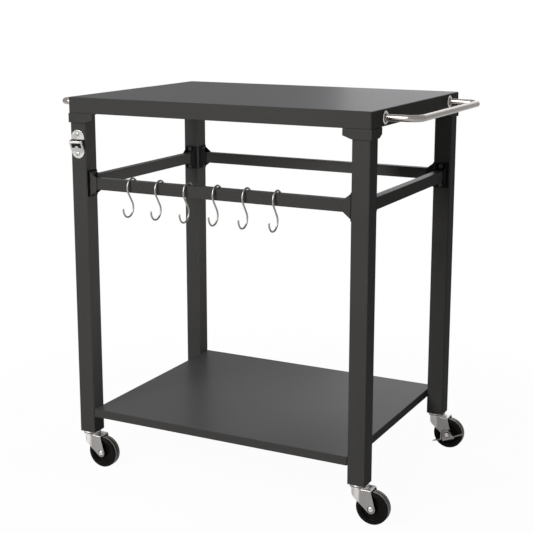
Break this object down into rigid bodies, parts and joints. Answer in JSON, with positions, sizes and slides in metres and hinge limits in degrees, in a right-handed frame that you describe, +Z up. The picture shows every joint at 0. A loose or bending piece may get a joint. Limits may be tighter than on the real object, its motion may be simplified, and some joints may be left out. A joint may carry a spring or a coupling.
{
  "type": "grill cart",
  "caption": "Two-tier outdoor grill cart: folded steel worktop and lower shelf on square-tube legs with a rail ring, side handles, S-hooks, wall bottle opener and swivel casters.",
  "frame": {"origin": "on the floor, under the middle of the bounding box", "axes": "+Z up, the front with the hooks looks along -Y, +X to the right as seen from the front"},
  "size_m": [0.878, 0.5455, 0.86],
  "materials": {
    "worktop_coat": "semi-gloss black powder coat",
    "frame_coat": "satin black powder coat",
    "bracket_coat": "satin black powder coat",
    "black_fastener": "black oxide",
    "plain_steel": "plain zinc",
    "stainless": "polished stainless",
    "bright_opener": "bright plated",
    "zinc": "bright zinc plate",
    "wheel_black": "satin moulded",
    "tyre_black": "smooth rubber"
  },
  "bodies": {
    "cart": {"table_top": "worktop_coat", "bottom_shelf": "worktop_coat", "table_top_stiffeners": "frame_coat", "bottom_shelf_stiffeners": "frame_coat", "front_rail": "frame_coat", "rear_rail": "frame_coat", "left_rail": "frame_coat", "right_rail": "frame_coat", "leg_front_left": "frame_coat", "leg_front_right": "frame_coat", "leg_rear_left": "frame_coat", "leg_rear_right": "frame_coat", "leg_bracket_front_left": "frame_coat", "leg_bracket_front_right": "frame_coat", "leg_bracket_rear_left": "frame_coat", "leg_bracket_rear_right": "frame_coat", "front_rail_brackets": "bracket_coat", "rear_rail_brackets": "bracket_coat", "left_rail_brackets": "bracket_coat", "right_rail_brackets": "bracket_coat", "bracket_bolts": "black_fastener", "rail_bolts": "black_fastener", "shelf_bolts": "black_fastener", "weld_nuts": "plain_steel", "caster_inserts": "plain_steel", "swivel_balls": "plain_steel", "handle_screws": "plain_steel", "left_handle": "stainless", "right_handle": "stainless", "handle_flanges": "stainless", "bottle_opener": "bright_opener", "opener_screws": "bright_opener", "caster_stem_front_left": "zinc", "caster_stem_front_right": "zinc", "caster_stem_rear_left": "zinc", "caster_stem_rear_right": "zinc"},
    "fork_front_left": {"caster_fork_front_left": "zinc", "caster_axle_front_left": "zinc"},
    "wheel_front_left": {"wheel_core_front_left": "wheel_black", "tyre_front_left": "tyre_black"},
    "fork_front_right": {"caster_fork_front_right": "zinc", "caster_axle_front_right": "zinc"},
    "wheel_front_right": {"wheel_core_front_right": "wheel_black", "tyre_front_right": "tyre_black"},
    "fork_rear_left": {"caster_fork_rear_left": "zinc", "caster_axle_rear_left": "zinc"},
    "wheel_rear_left": {"wheel_core_rear_left": "wheel_black", "tyre_rear_left": "tyre_black"},
    "brake_rear_left": {"brake_lever_rear_left": "zinc"},
    "fork_rear_right": {"caster_fork_rear_right": "zinc", "caster_axle_rear_right": "zinc"},
    "wheel_rear_right": {"wheel_core_rear_right": "wheel_black", "tyre_rear_right": "tyre_black"},
    "brake_rear_right": {"brake_lever_rear_right": "zinc"},
    "hook_1": {"hook_1": "stainless"},
    "hook_2": {"hook_2": "stainless"},
    "hook_3": {"hook_3": "stainless"},
    "hook_4": {"hook_4": "stainless"},
    "hook_5": {"hook_5": "stainless"},
    "hook_6": {"hook_6": "stainless"}
  },
  "joints": [
    {"name": "swivel_front_left", "type": "hinge", "parent": "cart", "child": "fork_front_left", "pos_m": [-0.338, -0.2335, 0.077], "axis": [0, 0, 1], "continuous": true},
    {"name": "roll_front_left", "type": "hinge", "parent": "fork_front_left", "child": "wheel_front_left", "pos_m": [-0.3055, -0.2335, 0.036], "axis": [0, 1, 0], "continuous": true},
    {"name": "swivel_front_right", "type": "hinge", "parent": "cart", "child": "fork_front_right", "pos_m": [0.338, -0.2335, 0.077], "axis": [0, 0, 1], "continuous": true},
    {"name": "roll_front_right", "type": "hinge", "parent": "fork_front_right", "child": "wheel_front_right", "pos_m": [0.3705, -0.2335, 0.036], "axis": [0, 1, 0], "continuous": true},
    {"name": "swivel_rear_left", "type": "hinge", "parent": "cart", "child": "fork_rear_left", "pos_m": [-0.338, 0.2505, 0.077], "axis": [0, 0, 1], "continuous": true},
    {"name": "roll_rear_left", "type": "hinge", "parent": "fork_rear_left", "child": "wheel_rear_left", "pos_m": [-0.3055, 0.2505, 0.036], "axis": [0, 1, 0], "continuous": true},
    {"name": "brake_rear_left", "type": "hinge", "parent": "fork_rear_left", "child": "brake_rear_left", "pos_m": [-0.3055, 0.2505, 0.036], "axis": [0, -1, 0], "range_deg": [-42, 0]},
    {"name": "swivel_rear_right", "type": "hinge", "parent": "cart", "child": "fork_rear_right", "pos_m": [0.338, 0.2505, 0.077], "axis": [0, 0, 1], "continuous": true},
    {"name": "roll_rear_right", "type": "hinge", "parent": "fork_rear_right", "child": "wheel_rear_right", "pos_m": [0.3705, 0.2505, 0.036], "axis": [0, 1, 0], "continuous": true},
    {"name": "brake_rear_right", "type": "hinge", "parent": "fork_rear_right", "child": "brake_rear_right", "pos_m": [0.3705, 0.2505, 0.036], "axis": [0, -1, 0], "range_deg": [-42, 0]},
    {"name": "hook_1_slide", "type": "slide", "parent": "cart", "child": "hook_1", "axis": [1, 0, 0], "range_m": [-0.03, 0.03]},
    {"name": "hook_2_slide", "type": "slide", "parent": "cart", "child": "hook_2", "axis": [1, 0, 0], "range_m": [-0.03, 0.03]},
    {"name": "hook_3_slide", "type": "slide", "parent": "cart", "child": "hook_3", "axis": [1, 0, 0], "range_m": [-0.03, 0.03]},
    {"name": "hook_4_slide", "type": "slide", "parent": "cart", "child": "hook_4", "axis": [1, 0, 0], "range_m": [-0.03, 0.03]},
    {"name": "hook_5_slide", "type": "slide", "parent": "cart", "child": "hook_5", "axis": [1, 0, 0], "range_m": [-0.03, 0.03]},
    {"name": "hook_6_slide", "type": "slide", "parent": "cart", "child": "hook_6", "axis": [1, 0, 0], "range_m": [-0.03, 0.03]}
  ]
}
